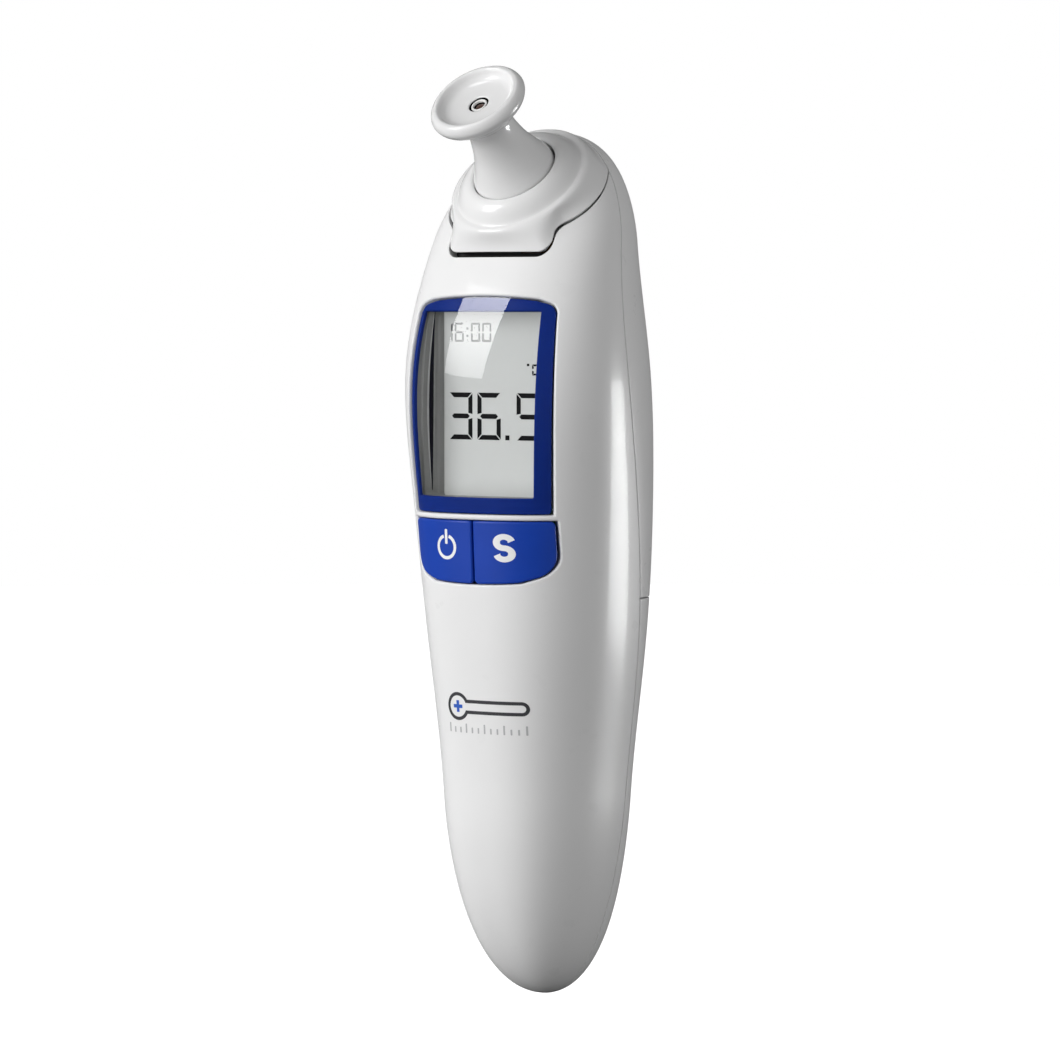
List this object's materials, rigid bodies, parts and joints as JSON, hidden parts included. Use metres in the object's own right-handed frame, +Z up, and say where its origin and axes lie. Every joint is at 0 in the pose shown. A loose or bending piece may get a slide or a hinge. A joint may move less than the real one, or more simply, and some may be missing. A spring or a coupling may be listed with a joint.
{
  "type": "digital ear thermometer",
  "caption": "Handheld infrared ear thermometer with a pull-off forehead cap, display, two keys and a sliding battery cover.",
  "frame": {"origin": "middle of the grip, 60 mm above the lower tip, on the middle plane", "axes": "+Z up the handle towards the probe, display and keys face -Y, +X to the right seen from the front"},
  "size_m": [0.0394, 0.0392, 0.1533],
  "materials": {
    "shell_white": "glossy injection moulded ABS",
    "cap_white": "glossy injection moulded ABS",
    "probe_white": "semi gloss",
    "inner_grey": "fine matt texture",
    "lens_clear": "clear polished acrylic",
    "blue_plastic": "satin royal blue",
    "lcd_grey": "reflective display glass",
    "diffuser_white": "satin diffuser",
    "elastomer": "layered conductive rubber",
    "board_green": "solder mask",
    "black_plastic": "moulded epoxy",
    "ribbon_amber": "polyimide film",
    "nickel": "nickel plated",
    "zinc": "die cast",
    "gold": "gold plated",
    "filter_dark": "polished infrared filter",
    "cell_dark": "plastic sleeve",
    "label_silver": "printed film"
  },
  "bodies": {
    "handle": {"front_shell": "shell_white", "rear_shell": "shell_white", "rear_label": "label_silver", "probe_housing": "inner_grey", "ear_probe": "probe_white", "probe_window": "filter_dark", "wave_guide": "gold", "thermopile_sensor": "nickel", "sensor_holder": "zinc", "sensor_board": "board_green", "sensor_ribbon": "ribbon_amber", "display_lens": "lens_clear", "display_bezel": "blue_plastic", "lcd_frame": "inner_grey", "lcd_glass": "lcd_grey", "lcd_backlight": "diffuser_white", "lcd_connector": "elastomer", "power_switch": "nickel", "scan_switch": "nickel", "main_board": "board_green", "controller_chip": "black_plastic", "memory_chip": "black_plastic", "buzzer": "black_plastic", "battery_tray": "inner_grey", "tray_screw_left": "nickel", "tray_screw_right": "nickel", "battery_left": "cell_dark", "battery_right": "cell_dark", "battery_spring_left": "nickel", "battery_spring_right": "nickel", "contact_plate_left": "nickel", "contact_plate_right": "nickel"},
    "cover": {"battery_cover": "shell_white"},
    "cap": {"cap_shell": "cap_white", "cap_cone": "cap_white", "cap_tube": "cap_white", "cap_window": "filter_dark"},
    "power_key": {"power_button": "blue_plastic"},
    "scan_key": {"scan_button": "blue_plastic"},
    "power_pin": {"power_plunger": "black_plastic"},
    "scan_pin": {"scan_plunger": "black_plastic"}
  },
  "joints": [
    {"name": "power_press", "type": "slide", "parent": "handle", "child": "power_key", "axis": [0, 1, 0], "range_m": [0, 0.0004], "stiffness_N_per_m": 1500, "springref_m": -0.0003},
    {"name": "scan_press", "type": "slide", "parent": "handle", "child": "scan_key", "axis": [0, 1, 0], "range_m": [0, 0.0004], "stiffness_N_per_m": 1500, "springref_m": -0.0003},
    {"name": "power_pin_press", "type": "slide", "parent": "handle", "child": "power_pin", "axis": [0, 1, 0], "range_m": [0, 0.0004]},
    {"name": "scan_pin_press", "type": "slide", "parent": "handle", "child": "scan_pin", "axis": [0, 1, 0], "range_m": [0, 0.0004]},
    {"name": "cover_slide", "type": "slide", "parent": "handle", "child": "cover", "axis": [0, 0.1191, -0.9929], "range_m": [0, 0.07]},
    {"name": "cap_pull", "type": "slide", "parent": "handle", "child": "cap", "axis": [0, -0.7071, 0.7071], "range_m": [0, 0.045]}
  ],
  "couplings": [
    {"joint": "power_pin_press", "follows": "power_press", "ratio": 1},
    {"joint": "scan_pin_press", "follows": "scan_press", "ratio": 1}
  ]
}
